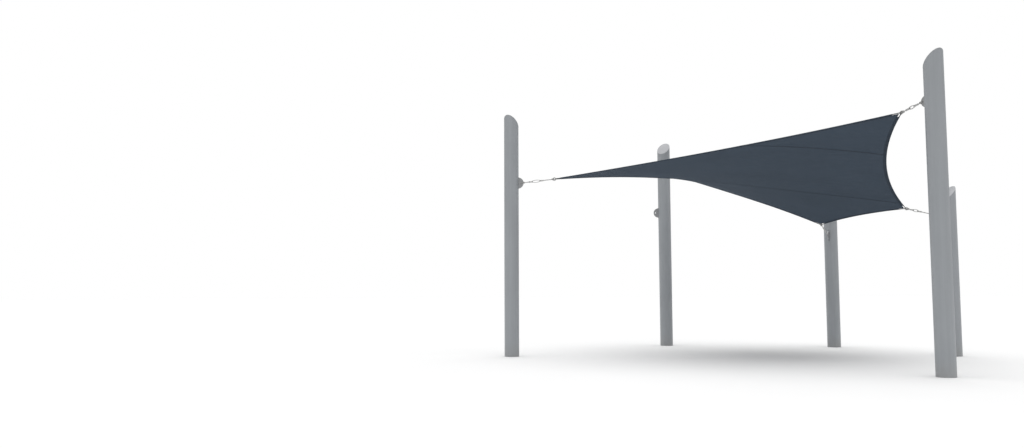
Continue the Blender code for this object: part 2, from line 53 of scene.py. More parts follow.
# Posts, in order round the sail. Each row gives the axis in plan, the height of the slanted top at the axis,
# the bearing of its low side, the height of the lug's pin, the lug's radius, and the sail's corner: how far
# it is from the axis, on which bearing and how high. The pull is that of the edge to the next corner, as a
# multiple of the cloth's own. Bearings are in degrees from +X to +Y.
Post = namedtuple(
    "Post", "name x y top_height cut_bearing lug_height lug_radius reach bearing corner_height pull"
)
POSTS = (
    Post("left", -3.267, 0.376, 3.537, 55.0, 2.605, 0.084, 0.615, 339.1, 2.633, 24.7),
    Post("front", 1.637, -2.729, 3.653, 110.0, 3.180, 0.070, 0.436, 115.4, 3.117, 5.12),
    Post("right", 3.267, 0.207, 2.420, 200.0, 2.085, 0.084, 0.607, 177.1, 2.189, 4.54),
    Post("rear_right", 2.258, 2.212, 2.400, 235.0, 1.910, 0.084, 0.563, 234.4, 2.060, 4.66),
    Post("rear", -0.520, 2.729, 3.527, 240.0, 3.075, 0.084, 0.485, 294.0, 2.953, 2.70),
)
SIDES = len(POSTS)

POST_RADIUS = 0.10955
POST_WALL = 0.0063
CUT_SLOPE = 1.0             # the tops are cut at 45 degrees
CAP_DEPTH = 0.008           # measured upright

LUG_THICKNESS = 0.012
LUG_HOLE_REACH = 0.052      # from the post's face
LUG_HOLE_RADIUS = 0.009
SPARE_LUG_POST = "rear"
SPARE_LUG_HEIGHT = 2.360
SPARE_LUG_RADIUS = 0.084
SPARE_LUG_OUTWARD = Vector((-1.0, 0.0, 0.0))

FORK_BASE = 0.010
FORK_CLEARANCE = 0.006      # between a fork's base and the lug's rim
RING_FORK_DEPTH = 0.020
SCREW_RADIUS = 0.007
BODY_HALF_HEIGHT = 0.021
BODY_THICKNESS = 0.013
BODY_NUT_RADIUS = 0.0115
BODY_NUT_LENGTH = 0.052
SLOT_HALF_HEIGHT = 0.0125
RING_RADIUS = 0.022         # to the middle of its wire
RING_WIRE = 0.005

ROPE_RADIUS = 0.006
ROPE_BEND = 0.020
ROPE_INSET = 0.008          # how far in from the sail's edge the rope lies
CORNER_CUT = 0.120          # the rope's pocket stops at least this far from the corner
MOUTH_MARGIN = 0.010        # and this far past the place where the two hems part
HEM_WIDTH = 0.047

NET = 12                    # net cells along half an edge
NET_ROUNDS = 12             # times that the net's shape is worked out anew

# The seams between panels, straight in plan: y = offset + slope * x.
Seam = namedtuple("Seam", "offset slope")
SEAMS = (Seam(-1.213, -0.021), Seam(0.918, -0.325))

# ---- sizes of what only the looks have ----

POST_FACETS = 96

SINGLE_HALF = 0.0010        # half the cloth's thickness
DOUBLE_HALF = 0.0019        # the same in a hem or a seam

# Lines along the sail's edge: how far in from the edge, and half the thickness there. The rope's round
# pocket comes first, and then the flat of the doubled hem.
HemLine = namedtuple("HemLine", "inset half_thickness")
HEM = (
    HemLine(0.0006, SINGLE_HALF),
    HemLine(0.0018, 0.0036),
    HemLine(0.0045, 0.0061),
    HemLine(0.0080, 0.0070),
    HemLine(0.0115, 0.0061),
    HemLine(0.0140, 0.0036),
    HemLine(0.0162, 0.0021),
    HemLine(0.0230, DOUBLE_HALF),
    HemLine(0.0300, DOUBLE_HALF),
    HemLine(0.0375, DOUBLE_HALF),
    HemLine(0.0450, DOUBLE_HALF),
    HemLine(HEM_WIDTH, SINGLE_HALF),
    HemLine(0.0560, SINGLE_HALF),
)
NOTCH = 8                   # index of the line to which the cloth is cut back, near a corner
TIP_CUT = 0.006             # how far past that line's corner the tip is cut
INNER = len(HEM) - 1
STATIONS = 40               # lines across the cloth in each quarter, past the hem
STATION_GROWTH = 1.15       # above 1, they lie closer together near the hem
SHARE_ROUNDS = 6            # times that the lines' crossings are worked out anew
EDGE_STEPS = 120            # points along half an edge, for measuring in from it

SEAM_LAP = 0.026
HEM_ROWS = (0.0205, 0.0430)     # stitch rows, from the sail's edge
SEAM_ROWS = (-0.0090, 0.0090)   # stitch rows, from the seam's middle
ROW_START = 0.004           # of a hem's row, past the rope's mouth, as a share of half an edge
SEAM_RUN = (-2.6, 2.7, 0.01)    # x between which a seam's cloth is looked for, and in what steps
SEAM_MARGIN = 3             # of these steps have no stitches, at each end of the seam
SKY = 6.0                   # above everything
OFF_CLOTH = 0.0008          # a stitch with an end this far from the cloth is left out
STITCH_PITCH = 0.0058
STITCH_LENGTH = 0.0044
STITCH_WIDTH = 0.0012
STITCH_HEIGHT = 0.0006
STITCH_SINK = 0.0002        # how deep a stitch's rim lies in the cloth

KNIT_RIB = 0.0030           # from rib to rib, across the roll
KNIT_SWAY = 0.0052          # length of a rib's wave
KNIT_LOOP = 0.0026          # from loop to loop, along the roll
KNIT_DEPTH = 0.0006

ROPE_STRANDS = 6
ROPE_LAY = 0.075            # length in which a strand winds round once
ROPE_STEP = 0.0025
ROPE_ROOT = 0.010           # how far the rope runs into the hem
BEND_STEPS = 24

THREAD_PITCH = 0.002
THREAD_STEPS = 18
THREAD_ROOT = 0.0006        # how deep a thread's ridge starts inside the screw
THREAD_CREST = 0.00025      # how high it stands out of it
THREAD_START = 0.003        # past the fork's base
THREAD_SHORT = 0.001        # of the screw's end
BAR_ROOT = 0.010            # how far a turnbuckle's bars run into its nuts
BAR_SQUARENESS = 0.55       # below 1, a bar's section is squarer than an ellipse

WELD_RADIUS = 0.0038
WELD_STEP = 0.0011
WELD_RIPPLE = 0.0055
WELD_SWELL = 0.10           # of its radius, at each ripple
WELD_SINK = 0.0008          # how deep the weld's middle lies in the post
WELD_CLEARANCE = 0.0010     # and how far it is from the lug's plate
CAP_WELD_RADIUS = 0.0019
CAP_WELD_STEP = 0.0016
CAP_WELD_SINK = 0.0012


# ---- materials ----

def grey(value):
    return (value, value, value, 1.0)


class Shader:
    """A material's node tree, built up a node at a time."""

    def __init__(self, name):
        self.material = bpy.data.materials.new(name)
        self.material.use_nodes = True
        self.tree = self.material.node_tree
        self.principled = self.tree.nodes["Principled BSDF"]

    def node(self, kind, **inputs):
        """A new node. Its inputs are values or sockets, by name with _ for a space."""
        made = self.tree.nodes.new("ShaderNode" + kind)
        for name, value in inputs.items():
            self.feed(made.inputs[name.replace("_", " ")], value)
        return made

    def feed(self, socket, value):
        if isinstance(value, bpy.types.NodeSocket):
            self.tree.links.new(value, socket)
        else:
            socket.default_value = value

    def math(self, operation, *values):
        made = self.tree.nodes.new("ShaderNodeMath")
        made.operation = operation
        for socket, value in zip(made.inputs, values):
            self.feed(socket, value)
        return made.outputs[0]

    def place(self, scale=(1, 1, 1), source="Object"):
        """Texture coordinates, in metres, times a scale."""
        coordinates = self.tree.nodes.new("ShaderNodeTexCoord").outputs[source]
        mapping = self.node("Mapping", Vector=coordinates)
        mapping.inputs["Scale"].default_value = scale
        return mapping.outputs[0]

    def noise(self, vector, scale=1.0, detail=2.0, roughness=0.5):
        made = self.node("TexNoise", Vector=vector, Scale=scale, Detail=detail, Roughness=roughness)
        return made.outputs["Fac"]

    def ramp(self, value, *stops):
        """Colours or greys at positions from 0 to 1."""
        made = self.node("ValToRGB", Fac=value)
        ramp = made.color_ramp
        while len(ramp.elements) < len(stops):
            ramp.elements.new(0.5)
        for element, (position, colour) in zip(ramp.elements, stops):
            element.position = position
            element.color = colour if len(colour) == 4 else (*colour, 1.0)
        return made.outputs["Color"]

    def mix(self, factor, a, b, blend="MIX"):
        made = self.tree.nodes.new("ShaderNodeMix")
        made.data_type = "RGBA"
        made.blend_type = blend
        self.feed(made.inputs["Factor"], factor)
        for name, value in (("A", a), ("B", b)):
            socket = [s for s in made.inputs if s.name == name and s.type == "RGBA"][0]
            self.feed(socket, value)
        return [s for s in made.outputs if s.type == "RGBA"][0]

    def shade(self, coat, amount, value, low, high, least):
        """A coat that darkens where a value is low, down to the least of its brightness."""
        return self.mix(amount, coat, self.ramp(value, (low, grey(least)), (high, grey(1.0))), "MULTIPLY")

    def bump(self, height, strength, distance):
        made = self.node("Bump", Height=height, Strength=strength, Distance=distance)
        self.tree.links.new(made.outputs[0], self.principled.inputs["Normal"])

    def set(self, **inputs):
        for name, value in inputs.items():
            self.feed(self.principled.inputs[name.replace("_", " ")], value)
        return self.material


DUST = (0.16, 0.17, 0.18, 1.0)
SPLASHED_EARTH = (0.33, 0.30, 0.26, 1.0)
SPLASH_HEIGHT = 0.28


def knit_material(name, colour):
    """Knitted shade cloth: ribs along the roll, joined by small slanted loops, with faint streaks."""
    shader = Shader(name)
    flat = shader.tree.nodes.new("ShaderNodeTexCoord").outputs["UV"]
    split = shader.node("SeparateXYZ", Vector=flat)
    along, across = split.outputs[0], split.outputs[1]
    sway = shader.math("SINE", shader.math("MULTIPLY", along, 2 * math.pi / KNIT_SWAY))
    rib_phase = shader.math("MULTIPLY", sway, 0.55)
    rib_phase = shader.math("MULTIPLY_ADD", across, 2 * math.pi / KNIT_RIB, rib_phase)
    rib = shader.math("MULTIPLY_ADD", shader.math("COSINE", rib_phase), 0.5, 0.5)
    loop_phase = shader.math("MULTIPLY", across, math.pi / KNIT_RIB)
    loop_phase = shader.math("MULTIPLY_ADD", along, 2 * math.pi / KNIT_LOOP, loop_phase)
    loop = shader.math("MULTIPLY_ADD", shader.math("SINE", loop_phase), 0.5, 0.5)
    knit = shader.math("MULTIPLY_ADD", loop, 0.35, shader.math("MULTIPLY", rib, 0.65))
    streaks = shader.noise(shader.place((1.2, 260.0, 1.0), "UV"), 1.0, 3.0, 0.6)
    clouds = shader.noise(shader.place((0.9, 1.6, 1.0), "UV"), 1.0, 3.0, 0.55)
    weathering = shader.noise(shader.place((7.0, 16.0, 1.0), "UV"), 1.0, 4.0, 0.6)
    # The knit's colour runs darker where its relief is low and lighter where it is high: painted shade in the
    # grooves between the ribs and a painted highlight on the ribs.
    dark = tuple(c * 0.62 for c in colour)
    light = tuple(c * 1.30 for c in colour)
    cloth = shader.ramp(knit, (0.0, dark), (0.55, colour), (1.0, light))
    cloth = shader.shade(cloth, 0.55, streaks, 0.25, 0.75, 0.80)
    cloth = shader.shade(cloth, 0.60, clouds, 0.3, 0.7, 0.84)
    dust = shader.ramp(weathering, (0.45, grey(0.0)), (0.85, grey(1.0)))
    cloth = shader.mix(shader.math("MULTIPLY", dust, 0.10), cloth, DUST)
    shader.bump(knit, 0.55, KNIT_DEPTH)
    rough = shader.math("MULTIPLY_ADD", knit, -0.08, 0.90)
    return shader.set(Base_Color=cloth, Roughness=rough, Specular_IOR_Level=0.05)


def paint_material(name, colour, foot=True):
    """Powder-coated steel: a fine peel, faint runs down the pipe and dust thrown up at the foot."""
    shader = Shader(name)
    runs = shader.noise(shader.place((34.0, 34.0, 0.5)), 1.0, 4.0, 0.6)
    patches = shader.noise(shader.place((5.0, 5.0, 1.6)), 1.0, 3.0, 0.5)
    peel = shader.noise(shader.place(), 900.0, 1.0, 0.5)
    specks = shader.noise(shader.place(), 210.0, 2.0, 0.6)
    coat = shader.shade((*colour, 1.0), 0.8, runs, 0.3, 0.7, 0.90)
    coat = shader.shade(coat, 0.7, patches, 0.3, 0.7, 0.90)
    coat = shader.shade(coat, 1.0, specks, 0.27, 0.36, 0.86)
    if foot:
        height = shader.node("SeparateXYZ", Vector=shader.place()).outputs[2]
        splash = shader.math("SUBTRACT", 1.0, shader.math("DIVIDE", height, SPLASH_HEIGHT))
        splash = shader.math("MULTIPLY", splash, shader.noise(shader.place((9.0, 9.0, 5.0)), 1.0, 4.0, 0.7))
        splash = shader.ramp(splash, (0.12, grey(0.0)), (0.75, grey(1.0)))
        coat = shader.mix(shader.math("MULTIPLY", splash, 0.35), coat, SPLASHED_EARTH)
    rough = shader.math("MULTIPLY_ADD", patches, 0.18, 0.34)
    shader.bump(peel, 0.10, 0.0004)
    return shader.set(Base_Color=coat, Roughness=rough)


def metal_material(name, colour, roughness, spangle=0.0, lines=0.0):
    """Bare metal; spangle gives zinc its crystal patches, and lines a brushed or drawn grain."""
    shader = Shader(name)
    crystals = shader.node("TexVoronoi", Vector=shader.place(), Scale=140.0).outputs["Color"]
    crystals = shader.node("SeparateXYZ", Vector=crystals).outputs[0]
    patches = shader.noise(shader.place(), 45.0, 4.0, 0.6)
    grain = shader.noise(shader.place(), 700.0, 3.0, 0.7)
    tone = shader.math("MULTIPLY_ADD", crystals, spangle, 1.0 - spangle)
    tone = shader.math("MULTIPLY", tone, shader.math("MULTIPLY_ADD", patches, 0.30, 0.80))
    tone = shader.math("MULTIPLY", tone, shader.math("MULTIPLY_ADD", grain, lines, 1.0 - lines / 2))
    tone = shader.node("CombineXYZ", X=tone, Y=tone, Z=tone).outputs[0]
    coat = shader.mix(1.0, (*colour, 1.0), tone, "MULTIPLY")
    rough = shader.math("MULTIPLY_ADD", patches, 0.22, roughness - 0.11)
    shader.bump(grain, 0.12, 0.0003)
    return shader.set(Base_Color=coat, Roughness=rough, Metallic=1.0)


def weld_material(name):
    """A painted weld: the coat over fine ripples."""
    shader = Shader(name)
    patches = shader.noise(shader.place(), 60.0, 3.0, 0.6)
    coat = shader.ramp(patches, (0.3, (0.24, 0.25, 0.26)), (0.7, (0.31, 0.32, 0.33)))
    shader.bump(shader.noise(shader.place(), 500.0, 3.0, 0.6), 0.3, 0.0006)
    return shader.set(Base_Color=coat, Roughness=0.5)


def thread_material(name, colour):
    """Twisted sewing thread."""
    shader = Shader(name)
    twist = shader.noise(shader.place(), 1500.0, 2.0, 0.5)
    coat = shader.ramp(twist, (0.3, tuple(c * 0.7 for c in colour)), (0.7, colour))
    shader.bump(twist, 0.4, 0.0003)
    return shader.set(Base_Color=coat, Roughness=0.75)


CLOTH = knit_material("cloth", (0.0610, 0.0812, 0.1090))
# The doubled cloth of hems and seams gets a darker copy of the cloth's colour: painted shade for the light
# that two layers hold back.
CLOTH_DOUBLE_SHADED = knit_material("cloth_double_shaded", (0.0415, 0.0550, 0.0740))
THREAD = thread_material("thread", (0.085, 0.10, 0.125))
PAINT = paint_material("post_paint", (0.355, 0.375, 0.396))
# The caps get a lighter copy of the post paint: a painted highlight for the light on their upward faces.
CAP_PAINT_LIT = paint_material("cap_paint", (0.45, 0.46, 0.48), foot=False)
WELD = weld_material("weld")
ZINC = metal_material("galvanised", (0.50, 0.51, 0.52), 0.46, spangle=0.22)
STAINLESS = metal_material("stainless", (0.48, 0.48, 0.475), 0.32, lines=0.25)
# The rope's steel has a grey far darker than bare wire rope: painted shade for the shaded sides of its loops.
ROPE_DARKENED = metal_material("rope", (0.13, 0.135, 0.14), 0.55, lines=0.3)


# ---- pieces ----

def add_piece(name, mesh, material, nodes=(), place=None):
    """A piece of the looks, riding on the part's one body."""
    piece = bpy.data.objects.new(name, mesh)
    bpy.context.collection.objects.link(piece)
    mesh.materials.clear()
    mesh.materials.append(material)
    if place is not None:
        mesh.transform(place)
    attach(piece, "root")
    if nodes:
        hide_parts(*nodes)
    return piece


def mesh_from(name, points, faces, sharp_angle=35.0):
    """A smooth mesh with its faces turned outward and its sharper edges kept."""
    mesh = bpy.data.meshes.new(name)
    mesh.from_pydata([tuple(p) for p in points], [], faces)
    form = bmesh.new()
    form.from_mesh(mesh)
    bmesh.ops.recalc_face_normals(form, faces=form.faces)
    form.to_mesh(mesh)
    form.free()
    mesh.shade_smooth()
    mesh.set_sharp_from_angle(angle=math.radians(sharp_angle))
    return mesh


def ring_faces(rings, closed_loop, base=0):
    """Rings of points joined one to the next; the last joins the first, or both ends are filled."""
    points = [p for ring in rings for p in ring]
    width = len(rings[0])
    faces = []
    for r in range(len(rings) if closed_loop else len(rings) - 1):
        here, there = base + r * width, base + (r + 1) % len(rings) * width
        for n in range(width):
            m = (n + 1) % width
            faces.append((here + n, here + m, there + m, there + n))
    if not closed_loop:
        last = base + (len(rings) - 1) * width
        faces += [tuple(range(start, start + width)) for start in (base, last)]
    return points, faces


def ringed_mesh(name, rings, closed_loop, sharp_angle=35.0):
    points, faces = ring_faces(rings, closed_loop)
    return mesh_from(name, points, faces, sharp_angle)


def sweep(name, path, section, closed=False, sharp_angle=60.0):
    """A mesh swept along a path. section(n) gives ring n as (side, up) offsets."""
    path = [Vector(p) for p in path]
    count = len(path)
    rings = []
    side = None
    for n, here in enumerate(path):
        before = path[n - 1] if n or closed else here
        after = path[(n + 1) % count] if n < count - 1 or closed else here
        along = (after - before).normalized()
        if side is None:
            side = along.orthogonal().normalized()
        side = (side - along * side.dot(along)).normalized()
        up = along.cross(side)
        rings.append([here + a * side + b * up for a, b in section(n)])
    return ringed_mesh(name, rings, closed, sharp_angle)


def full_turn(steps):
    return np.linspace(0, 2 * math.pi, steps, False)


def round_section(radius, facets):
    return [(radius * math.cos(a), radius * math.sin(a)) for a in full_turn(facets)]


# ---- the sail's shape ----

def shared_name(k, i, j, last):
    """Name of point i, j in the quarter at corner k; quarters share the points on their middle lines."""
    if i == last and j == last:
        return "middle"
    if i == last:
        return (k, j)
    if j == last:
        return ((k - 1) % SIDES, i)
    return (k, i, j)


def post_corner(post):
    """Where the sail's two edges would meet at this post."""
    a = math.radians(post.bearing)
    x, y = post.x + post.reach * math.cos(a), post.y + post.reach * math.sin(a)
    return np.array((x, y, post.corner_height))


def net_layout():
    """Numbers of the net's points, corners first: one grid for each quarter, all triangles, and each edge."""
    steps = range(NET + 1)
    names = [[[shared_name(k, i, j, NET) for j in steps] for i in steps] for k in range(SIDES)]
    corners = [grid[0][0] for grid in names]
    others = sorted({name for grid in names for row in grid for name in row} - set(corners), key=str)
    number = {name: n for n, name in enumerate(corners + others)}
    grids = np.array([[[number[name] for name in row] for row in grid] for grid in names])
    a, b, c, d = grids[:, :-1, :-1], grids[:, 1:, :-1], grids[:, 1:, 1:], grids[:, :-1, 1:]
    both_ways = ((a, b, c), (a, c, d), (a, b, d), (b, c, d))
    triangles = np.concatenate([np.stack(t, axis=-1).reshape(-1, 3) for t in both_ways])
    edges = [np.concatenate((grids[k][:, 0], grids[(k + 1) % SIDES][0, -2::-1])) for k in range(SIDES)]
    return grids, triangles, edges


def balance(pulls, corners):
    """Where the points of a net rest, given the pull between each two for their distance."""
    system = np.diag(pulls.sum(axis=1)) - pulls
    loose = np.linalg.solve(system[SIDES:, SIDES:], -system[SIDES:, :SIDES] @ corners)
    return np.vstack((corners, loose))


def film_pulls(places, triangles, edges):
    """Pulls in a cloth that is as tight in every direction, with edge ropes of even pull."""
    pulls = np.zeros((len(places), len(places)))
    for turn in range(3):
        a, b, c = np.roll(triangles, turn, axis=1).T
        to_b, to_c = places[b] - places[a], places[c] - places[a]
        # Each cell is cut both ways, at half weight each.
        cotangent = (to_b * to_c).sum(axis=1) / np.linalg.norm(np.cross(to_b, to_c), axis=1)
        np.add.at(pulls, (b, c), cotangent / 4)
        np.add.at(pulls, (c, b), cotangent / 4)
    for post, edge in zip(POSTS, edges):
        spacing = np.linalg.norm(np.diff(places[edge], axis=0), axis=1).mean()
        pulls[edge[1:], edge[:-1]] += post.pull / spacing
        pulls[edge[:-1], edge[1:]] += post.pull / spacing
    return np.maximum(pulls, 0.0)


def stretch_net():
    """The balanced cloth, as one grid of points for each quarter."""
    grids, triangles, edges = net_layout()
    corners = np.array([post_corner(post) for post in POSTS])
    count = grids.max() + 1
    pulls = np.zeros((count, count))
    for ends in (grids[:, 1:], grids[:, :-1]), (grids[:, :, 1:], grids[:, :, :-1]):
        pulls[ends[0], ends[1]] = pulls[ends[1], ends[0]] = 1.0
    for edge in edges:
        pulls[edge[1:], edge[:-1]] = pulls[edge[:-1], edge[1:]] = 4.0 * NET
    places = balance(pulls, corners)
    for _ in range(NET_ROUNDS):
        places = balance(film_pulls(places, triangles, edges), corners)
    return [places[grid] for grid in grids]


class Quarter:
    """The cloth round one corner, smooth between the net's points."""

    def __init__(self, grids, k):
        grid, after, before = grids[k], grids[(k + 1) % SIDES], grids[(k - 1) % SIDES]
        wide = np.zeros((NET + 3, NET + 3, 3))
        wide[1:-1, 1:-1] = grid
        wide[-1, 1:-1] = after[:, NET - 1]
        wide[1:-1, -1] = before[NET - 1, :]
        wide[-1, -1] = wide[-1, -2] + wide[-2, -1] - wide[-2, -2]
        wide[0] = 3 * wide[1] - 3 * wide[2] + wide[3]
        wide[:, 0] = 3 * wide[:, 1] - 3 * wide[:, 2] + wide[:, 3]
        self.wide = wide
        self.corner = grid[0, 0]
        first, second = grid[1, 0] - grid[0, 0], grid[0, 1] - grid[0, 0]
        first, second = first / np.linalg.norm(first), second / np.linalg.norm(second)
        self.bisector = (first + second) / np.linalg.norm(first + second)
        self.half_angle = math.acos(float(first @ self.bisector))
        self.edge = None

    def at(self, u, v):
        """Points at shares u and v of the two half edges."""
        def weights(t):
            parts = (-t + 2 * t**2 - t**3, 2 - 5 * t**2 + 3 * t**3, t + 4 * t**2 - 3 * t**3, t**3 - t**2)
            return np.stack(parts) / 2

        u, v = np.broadcast_arrays(np.asarray(u, float), np.asarray(v, float))
        i = np.clip((u * NET).astype(int), 0, NET - 1)
        j = np.clip((v * NET).astype(int), 0, NET - 1)
        a, b = weights(u * NET - i), weights(v * NET - j)
        out = np.zeros(u.shape + (3,))
        for p in range(4):
            for q in range(4):
                out += (a[p] * b[q])[..., None] * self.wide[i + p, j + q]
        return out

    def slopes(self, u, v):
        """How fast the place changes with each share."""
        e = 1e-4
        du = (self.at(u + e, v) - self.at(u - e, v)) / (2 * e)
        dv = (self.at(u, v + e) - self.at(u, v - e)) / (2 * e)
        return du, dv

    def normal(self, u, v):
        du, dv = self.slopes(u, v)
        n = np.cross(du, dv)
        return n / np.linalg.norm(n, axis=-1, keepdims=True)

    def share_in(self, u, inset):
        """The shares v that lie an inset from the edge v = 0, for a row of shares u. The first guess follows
        the slope at the edge, and the true distance from the edge then corrects it."""
        du, dv = self.slopes(u, np.zeros_like(u))
        along = du / np.linalg.norm(du, axis=-1, keepdims=True)
        across = dv - along * (dv * along).sum(-1, keepdims=True)
        v = inset / np.linalg.norm(across, axis=-1)
        if self.edge is None:
            run = np.linspace(0.0, 1.0, EDGE_STEPS)
            self.edge = self.at(run, 0.0)
            slope = self.slopes(run, np.zeros_like(run))[0]
            self.edge_along = slope / np.linalg.norm(slope, axis=1, keepdims=True)
        for _ in range(2):
            gap = self.at(u, v)[:, None] - self.edge
            nearest = (gap**2).sum(-1).argmin(1)
            gap = gap[np.arange(len(nearest)), nearest]
            along = self.edge_along[nearest]
            gap = gap - along * (gap * along).sum(1, keepdims=True)
            v = v * inset / np.linalg.norm(gap, axis=1)
        return v

    def turned(self):
        """The same quarter with its two edges swapped."""
        other = copy(self)
        other.edge = None
        other.wide = self.wide.transpose(1, 0, 2)
        return other

    def mouth(self):
        """Share of the half edge at which the rope comes out of the hem."""
        shares = np.linspace(0.0, 1.0, 400)
        distances = np.linalg.norm(self.at(shares, 0.0 * shares) - self.corner, axis=1)
        cut = max(CORNER_CUT, HEM_WIDTH / math.tan(self.half_angle) + MOUTH_MARGIN)
        return float(np.interp(cut, distances, shares))


def quarter_shares(quarter):
    """Shares u, v of every mesh point of a quarter: the first lines follow the hem, and the next one starts
    at the mouth of the rope's pocket."""
    turned = quarter.turned()
    size = INNER + STATIONS + 1

    def mouth_step(side, crossing):
        """Where the mouth's line starts, as a share of the way from the hem to the middle."""
        start = float(side.share_in(np.zeros(1), HEM[INNER].inset)[0])
        return (crossing.mouth() - start) / (1 - start)

    def share(side, along, index, first):
        if index <= INNER:
            return side.share_in(along, HEM[index].inset)
        inner = side.share_in(along, HEM[INNER].inset)
        step = (index - INNER - 1) / (STATIONS - 1)
        return inner + (1 - inner) * (first + (1 - first) * step**STATION_GROWTH)

    first_u, first_v = mouth_step(turned, quarter), mouth_step(quarter, turned)
    u = np.full((size, size), 0.5)
    v = np.full((size, size), 0.5)
    for _ in range(SHARE_ROUNDS):
        new_u = np.stack([share(turned, v[i], i, first_u) for i in range(size)])
        new_v = np.stack([share(quarter, u[:, j], j, first_v) for j in range(size)], axis=1)
        u, v = new_u, new_v
    u[-1, :] = 1.0
    v[:, -1] = 1.0
    return u, v


def cut_away(form, place, outward):
    """Cuts off what lies outward of a plane."""
    geom = form.verts[:] + form.edges[:] + form.faces[:]
    bmesh.ops.bisect_plane(form, geom=geom, dist=1e-6, plane_co=place, plane_no=outward, clear_outer=True)


def sail_form(quarters):
    """The cloth's middle surface, with half its thickness in a layer."""
    form = bmesh.new()
    half = form.verts.layers.float.new("half")
    last = INNER + STATIONS
    mouth_line = INNER + 1
    index = {}
    for k, quarter in enumerate(quarters):
        u, v = quarter_shares(quarter)
        places = quarter.at(u, v)

        def vert(i, j):
            name = shared_name(k, i, j, last)
            if name not in index:
                made = form.verts.new(places[i, j])
                made[half] = HEM[min(i, j, INNER)].half_thickness
                index[name] = made
            return index[name]

        for i in range(last):
            for j in range(last):
                if min(i, j) < NOTCH and max(i, j) < mouth_line:
                    continue
                form.faces.new((vert(i, j), vert(i + 1, j), vert(i + 1, j + 1), vert(i, j + 1)))
    for quarter in quarters:
        tip = HEM[NOTCH].inset / math.sin(quarter.half_angle) + TIP_CUT
        cut_away(form, Vector(quarter.corner + quarter.bisector * tip), -Vector(quarter.bisector))
    bmesh.ops.recalc_face_normals(form, faces=form.faces)
    form.normal_update()
    if sum(face.normal.z for face in form.faces) < 0:
        bmesh.ops.reverse_faces(form, faces=form.faces)
    form.normal_update()
    return form


def thicken(name, form, extra=0.0):
    """A closed cloth mesh round a middle surface."""
    half = form.verts.layers.float["half"]
    form.verts.index_update()
    verts = list(form.verts)
    count = len(verts)
    points = [v.co + v.normal * (v[half] + extra) for v in verts]
    points += [v.co - v.normal * (v[half] + extra) for v in verts]
    faces = [tuple(v.index for v in face.verts) for face in form.faces]
    under = [tuple(count + n for n in reversed(face)) for face in faces]
    rim = []
    for edge in form.edges:
        if edge.is_boundary:
            loop = edge.link_loops[0]
            a, b = loop.vert.index, loop.link_loop_next.vert.index
            rim.append((b, a, a + count, b + count))
    mesh = bpy.data.meshes.new(name)
    mesh.from_pydata([tuple(p) for p in points], [], faces + under + rim)
    lay_flat(mesh)
    mesh.shade_smooth()
    mesh.set_sharp_from_angle(angle=math.radians(50.0))
    return mesh


def lay_flat(mesh):
    """UVs in metres of cloth: x along the roll and y across it. The roll lies midway between the seams."""
    layer = mesh.uv_layers.new(name="flat_cloth")
    corners = np.zeros(len(mesh.loops), dtype=np.int32)
    mesh.loops.foreach_get("vertex_index", corners)
    places = np.zeros(len(mesh.vertices) * 3)
    mesh.vertices.foreach_get("co", places)
    x, y, _ = places.reshape(-1, 3)[corners].T
    lean = math.atan(SEAMS[1].slope) / 2
    along = x * math.cos(lean) + y * math.sin(lean)
    across = y * math.cos(lean) - x * math.sin(lean)
    layer.uv.foreach_set("vector", np.stack((along, across), axis=1).ravel())


def seam_strip(form, seam, number):
    """The lap where two panels are sewn together."""
    strip = form.copy()
    across = Vector((-seam.slope, 1.0, 0.0)).normalized()
    for sign in (-1, 1):
        cut_away(strip, Vector((0.0, seam.offset, 0.0)) + across * sign * SEAM_LAP / 2, across * sign)
    mesh = thicken("seam_%d" % number, strip, extra=DOUBLE_HALF - SINGLE_HALF)
    strip.free()
    return mesh


# ---- stitching ----

def spread(points, pitch):
    """Places every pitch along a line of points, as fractional indices."""
    steps = np.linalg.norm(np.diff(points, axis=0), axis=1)
    lengths = np.concatenate(([0.0], np.cumsum(steps)))
    return np.interp(np.arange(pitch, lengths[-1] - pitch, pitch), lengths, np.arange(len(points)))


def pick(values, where):
    """Values at fractional indices."""
    low = np.floor(where).astype(int)
    part = (where - low)[:, None]
    return values[low] * (1 - part) + values[np.minimum(low + 1, len(values) - 1)] * part


def stitch_row(points, normals):
    """Centre, direction and normal of each stitch along a line."""
    where = spread(points, STITCH_PITCH)
    ends = pick(points, np.minimum(where + 0.02, len(points) - 1.0))
    starts = pick(points, np.maximum(where - 0.02, 0.0))
    along = ends - starts
    along /= np.linalg.norm(along, axis=1, keepdims=True)
    up = pick(normals, where)
    up -= along * (up * along).sum(1, keepdims=True)
    up /= np.linalg.norm(up, axis=1, keepdims=True)
    return pick(points, where), along, up


def hem_rows(quarters, form):
    """Two rows of stitches along every hem, where there is cloth under the whole stitch."""
    tree = BVHTree.FromBMesh(form)
    rows = []
    for quarter in quarters:
        for side in (quarter, quarter.turned()):
            u = np.linspace(side.mouth() + ROW_START, 1.0, 500)
            for inset in HEM_ROWS:
                v = side.share_in(u, inset)
                row = stitch_row(side.at(u, v), side.normal(u, v))
                whole = np.ones(len(row[0]), bool)
                for step in (-0.7, 0.7):
                    ends = row[0] + row[1] * STITCH_LENGTH * step
                    whole &= np.array([tree.find_nearest(Vector(end))[3] < OFF_CLOTH for end in ends])
                rows.append(tuple(values[whole] for values in row))
    return rows


def seam_rows(form):
    """Two rows of stitches along every seam, short of the cloth's edges, found by rays from above."""
    tree = BVHTree.FromBMesh(form)
    rows = []
    for seam in SEAMS:
        across = Vector((-seam.slope, 1.0, 0.0)).normalized()
        for offset in SEAM_ROWS:
            points, normals = [], []
            for x in np.arange(*SEAM_RUN):
                start = Vector((x, seam.offset + seam.slope * x, SKY)) + across * offset
                place, normal, _, _ = tree.ray_cast(start, -UP)
                if place is not None:
                    points.append(place)
                    normals.append(normal)
            inner = slice(SEAM_MARGIN, -SEAM_MARGIN)
            rows.append(stitch_row(np.array(points)[inner], np.array(normals)[inner]))
    return rows


